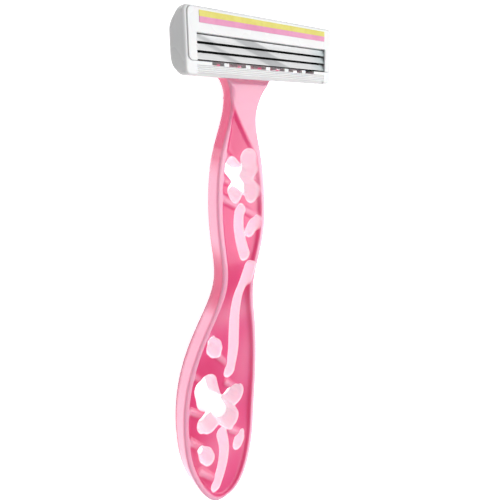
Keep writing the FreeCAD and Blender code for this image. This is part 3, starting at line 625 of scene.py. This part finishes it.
def waxy_strip(name, colour, deep):
    """Lubricating strip: waxy, mottled, slightly fibrous along its length."""
    material, tree, shader = new_material(name, Coat_Weight=0.15, Coat_Roughness=0.3, IOR=1.45,
                                          Subsurface_Weight=0.15, Subsurface_Scale=0.0006)
    grain = effect(tree, "grain", Scale=1600.0, Coarse=0.6)
    streaks_and_reflections = effect(tree, "streaks_and_reflections", Across=5000.0, Along=200.0)
    mottle = tint(tree, spread(tree, grain.outputs["Height"], 0.35, 0.65, 0, 0.6), colour, deep)
    mottle = tint(tree, spread(tree, streaks_and_reflections.outputs["Streak"], 0.5, 0.8, 0, 0.4), mottle, deep)
    tree.links.new(mottle, shader.inputs["Base Color"])
    tree.links.new(spread(tree, grain.outputs["Mask"], 0.3, 0.7, 0.38, 0.55),
                   shader.inputs["Roughness"])
    bump(tree, shader, grain.outputs["Height"], 0.35, 0.00004)
    return material


def steel(name, bright, dark, metallic, roughness, shift, end_tint=0.0):
    """Ground steel strip: streak marks along its length, painted reflection as slow bright and dark
    stretches, and a cool tint toward its right end."""
    material, tree, shader = new_material(name, Metallic=metallic)
    streaks_and_reflections = effect(tree, "streaks_and_reflections", Shift=shift)
    # painted reflection: slow bright and dark stretches; the dark colour also tints the real streaks
    colour = tint(tree, spread(tree, streaks_and_reflections.outputs["Reflection_Patch"], 0.5, 0.62), bright, dark)
    colour = tint(tree, spread(tree, streaks_and_reflections.outputs["Streak"], 0.4, 0.7, 0, 0.25), colour, dark)
    across = add(tree, "ShaderNodeSeparateXYZ",
                 [("Vector", add(tree, "ShaderNodeTexCoord").outputs["Object"])]).outputs["X"]
    colour = tint(tree, spread(tree, across, 0.012, 0.018, 0, end_tint), colour, END_STEEL)
    tree.links.new(colour, shader.inputs["Base Color"])
    tree.links.new(spread(tree, streaks_and_reflections.outputs["Streak"], 0.3, 0.7, roughness, roughness + 0.15),
                   shader.inputs["Roughness"])
    bump(tree, shader, streaks_and_reflections.outputs["Streak"], 0.2, 0.00001)
    return material


INNER_GLOW = (0.06, 0.0, 0.01)    # painted glow: emission standing in for light that the translucent plastic carries to its faces
NECK_GLOW = (0.36, 0.01, 0.07)
SIDE_GLOW = (0.54, 0.25, 0.34)
RIM_GLOW = (0.30, 0.22, 0.25)
# painted glow lifting the shade on the fan under the head
UNDER_GLOW = (0.40, 0.01, 0.09)
WALL_GLOW = (0.26, 0.17, 0.20)
DEEP_PINK = (0.72, 0.055, 0.19)
WARM_PINK = (0.78, 0.085, 0.25)
# painted light: the pale pink of highlights on ribs, rim, side band and washes
PAINTED_LIGHT_PINK = (0.88, 0.42, 0.56)
# painted light: pale pink of the cut-out walls
PAINTED_WALL_PINK = (0.96, 0.72, 0.79)
PAINTED_SHADE_BOX = {"X": (-18.8, 18.8), "Y": (53.5, 57.75), "Z": (4.3, 7.6)}   # painted shade: box, in millimetres, inside which the moulding under the blades is painted black
PAINTED_SHADE_BLACK = (0.012, 0.012, 0.013)
WHITE, COOL_WHITE = (0.86, 0.86, 0.862), (0.83, 0.832, 0.838)
YELLOW, DEEP_YELLOW = (0.80, 0.73, 0.16), (0.70, 0.60, 0.10)
STRIP_PINK, DEEP_STRIP_PINK = (0.84, 0.33, 0.53), (0.74, 0.25, 0.45)
# steel colour, and the dark of painted reflections and streaks
BRIGHT_STEEL, DARK_STREAK_AND_REFLECTION_STEEL = (0.97, 0.975, 0.98), (0.60, 0.61, 0.62)
END_STEEL = (0.62, 0.72, 0.73)
# painted shade: the blade supports near black, standing for the shade in the gaps between blades
SHADED_SUPPORT_BRIGHT, SHADED_SUPPORT_DARK = (0.045, 0.046, 0.05), (0.02, 0.02, 0.022)


def dress(name, material):
    """Gives a CAD node its finish."""
    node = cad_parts[name]
    node.data.materials.clear()
    node.data.materials.append(material)


pink = pink_plastic()
handle = build_handle()
handle.data.materials.append(pink)
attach(handle, "handle")
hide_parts("handle")

moulded_white = white_plastic("white_moulding", 0.22)
dress("return_tongue", pink)
dress("cartridge_frame", moulded_white)
dress("face_cover", moulded_white)
dress("guard", white_plastic("guard_elastomer", 0.42))
dress("upper_lubricating_strip", waxy_strip("yellow_wax", YELLOW, DEEP_YELLOW))
dress("lower_lubricating_strip", waxy_strip("pink_wax", STRIP_PINK, DEEP_STRIP_PINK))
for index in (1, 2, 3):
    dress(f"blade_{index}", steel(f"blade_steel_{index}", BRIGHT_STEEL, DARK_STREAK_AND_REFLECTION_STEEL, 0.3, 0.3,
                                  0.15 * index, 0.7))
    # painted shade: supports darkened to near black
    dress(f"blade_support_{index}",
          steel(f"support_painted_shade_steel_{index}", SHADED_SUPPORT_BRIGHT, SHADED_SUPPORT_DARK, 0.5, 0.6, 1.7 * index))
    dress(f"blade_springs_{index}", moulded_white)


# --- floor, light and camera ---------------------------------------------------------------------

FLOOR_HALF, FLOOR_DROP = 3.0, 0.0002      # metres


def build_floor():
    """A pale floor: a flat square grid just under the object."""
    side = np.linspace(-1, 1, 41)
    x, y = np.meshgrid(side, side, indexing="ij")
    drop = np.full_like(x, -FLOOR_DROP)
    points = np.stack([FLOOR_HALF * x, FLOOR_HALF * y, drop], -1).reshape(-1, 3)
    count = len(side)
    corner = (np.arange(count - 1)[:, None] * count + np.arange(count - 1)).ravel()
    faces = np.stack([corner, corner + count, corner + count + 1, corner + 1], 1)
    floor = mesh_object("floor", points, faces)
    material, tree, shader = new_material("pale_floor", Roughness=0.9)
    grain = effect(tree, "grain", Scale=40.0, Coarse=0.5)
    colour = tint(tree, grain.outputs["Mask"], (0.97, 0.97, 0.97), (0.99, 0.99, 0.99))
    tree.links.new(colour, shader.inputs["Base Color"])
    shader.inputs["Emission Color"].default_value = (1, 1, 1, 1)
    shader.inputs["Emission Strength"].default_value = 0.85
    floor.data.materials.append(material)
    floor.visible_diffuse = False


def aimed(obj, place, target):
    """Puts an object at a place with its minus Z axis toward a target."""
    obj.location = place
    obj.rotation_euler = (Vector(target) - Vector(place)).to_track_quat("-Z", "Y").to_euler()


def soft_box(name, place, width, power):
    """A square area light aimed at the razor's middle."""
    light = bpy.data.lights.new(name, "AREA")
    light.size, light.energy = width, power
    obj = bpy.data.objects.new(name, light)
    bpy.context.collection.objects.link(obj)
    aimed(obj, place, (0, 0, 0.004))


def build_lights():
    """Soft even light: a bright surround, a broad overhead box and a key from the right."""
    world = bpy.data.worlds.new("surround")
    bpy.context.scene.world = world
    world.use_nodes = True
    world.node_tree.nodes["Background"].inputs["Color"].default_value = (1, 1, 1, 1)
    world.node_tree.nodes["Background"].inputs["Strength"].default_value = 0.36
    soft_box("overhead", (0.0, 0.15, 0.9), 0.9, 3.4)
    soft_box("key_right", (0.6, 0.05, 0.75), 0.9, 5.2)


def build_camera():
    """The viewpoint: its place, and the directions to its right, up and ahead."""
    data = bpy.data.cameras.new("viewpoint")
    data.sensor_width, data.lens = 36.0, 35.46
    data.clip_start = 0.005
    camera = bpy.data.objects.new("viewpoint", data)
    right = Vector((0.72454, 0.09320, 0.68291))
    up = Vector((0.18317, 0.92915, -0.32115))
    ahead = Vector((0.66445, -0.35776, -0.65613))
    turn = Matrix((right, up, -ahead)).transposed().to_4x4()
    camera.matrix_world = Matrix.Translation((-0.07538, 0.05442, 0.08428)) @ turn
    bpy.context.collection.objects.link(camera)
    bpy.context.scene.camera = camera


build_floor()
build_lights()
build_camera()
bpy.context.scene.view_settings.view_transform = "Standard"
